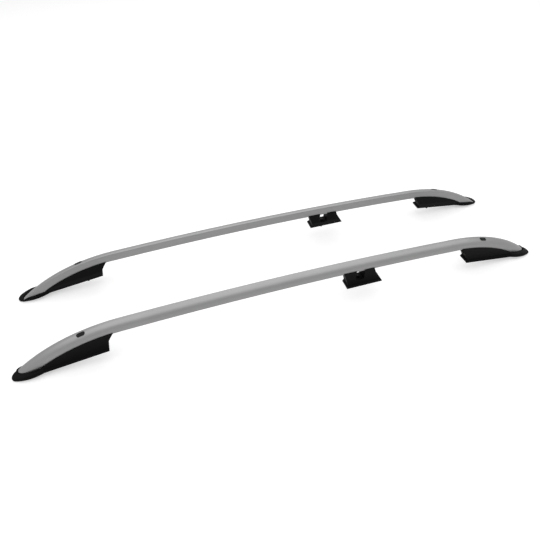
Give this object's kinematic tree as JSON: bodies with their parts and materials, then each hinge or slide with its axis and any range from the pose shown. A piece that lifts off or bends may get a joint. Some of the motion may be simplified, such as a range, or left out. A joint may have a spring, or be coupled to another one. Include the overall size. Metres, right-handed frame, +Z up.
{
  "type": "roof side rail pair",
  "caption": "Roof side rail pair: arched aluminium tubes of D section, bent down at both ends, on black moulded feet that bolt to a vehicle's roof and carry crossbars.",
  "frame": {"origin": "under the middle of the pair, level with the lowest edges of the end feet's gaskets", "axes": "+X towards the rear along the rails, +Y towards the right-hand rail, +Z up"},
  "size_m": [1.914, 0.4086, 0.154],
  "materials": {
    "anodised_tube": "satin silver anodising",
    "foot_plastic": "fine moulded grain, matt black",
    "plug_plastic": "smooth matt black",
    "gasket_rubber": "matt foam rubber",
    "bolt_steel": "black zinc",
    "washer_steel": "black zinc",
    "screw_steel": "black zinc"
  },
  "bodies": {
    "root": {"left_front_bolt": "bolt_steel", "left_front_foot": "foot_plastic", "left_front_foot_screws": "screw_steel", "left_front_gasket": "gasket_rubber", "left_front_plug": "plug_plastic", "left_front_washer": "washer_steel", "left_middle_bolt": "bolt_steel", "left_middle_foot": "foot_plastic", "left_middle_foot_screws": "screw_steel", "left_middle_gasket": "gasket_rubber", "left_middle_washer": "washer_steel", "left_rear_bolt": "bolt_steel", "left_rear_foot": "foot_plastic", "left_rear_foot_screws": "screw_steel", "left_rear_gasket": "gasket_rubber", "left_rear_plug": "plug_plastic", "left_rear_washer": "washer_steel", "left_tube": "anodised_tube", "right_front_bolt": "bolt_steel", "right_front_foot": "foot_plastic", "right_front_foot_screws": "screw_steel", "right_front_gasket": "gasket_rubber", "right_front_plug": "plug_plastic", "right_front_washer": "washer_steel", "right_middle_bolt": "bolt_steel", "right_middle_foot": "foot_plastic", "right_middle_foot_screws": "screw_steel", "right_middle_gasket": "gasket_rubber", "right_middle_washer": "washer_steel", "right_rear_bolt": "bolt_steel", "right_rear_foot": "foot_plastic", "right_rear_foot_screws": "screw_steel", "right_rear_gasket": "gasket_rubber", "right_rear_plug": "plug_plastic", "right_rear_washer": "washer_steel", "right_tube": "anodised_tube"}
  },
  "joints": []
}
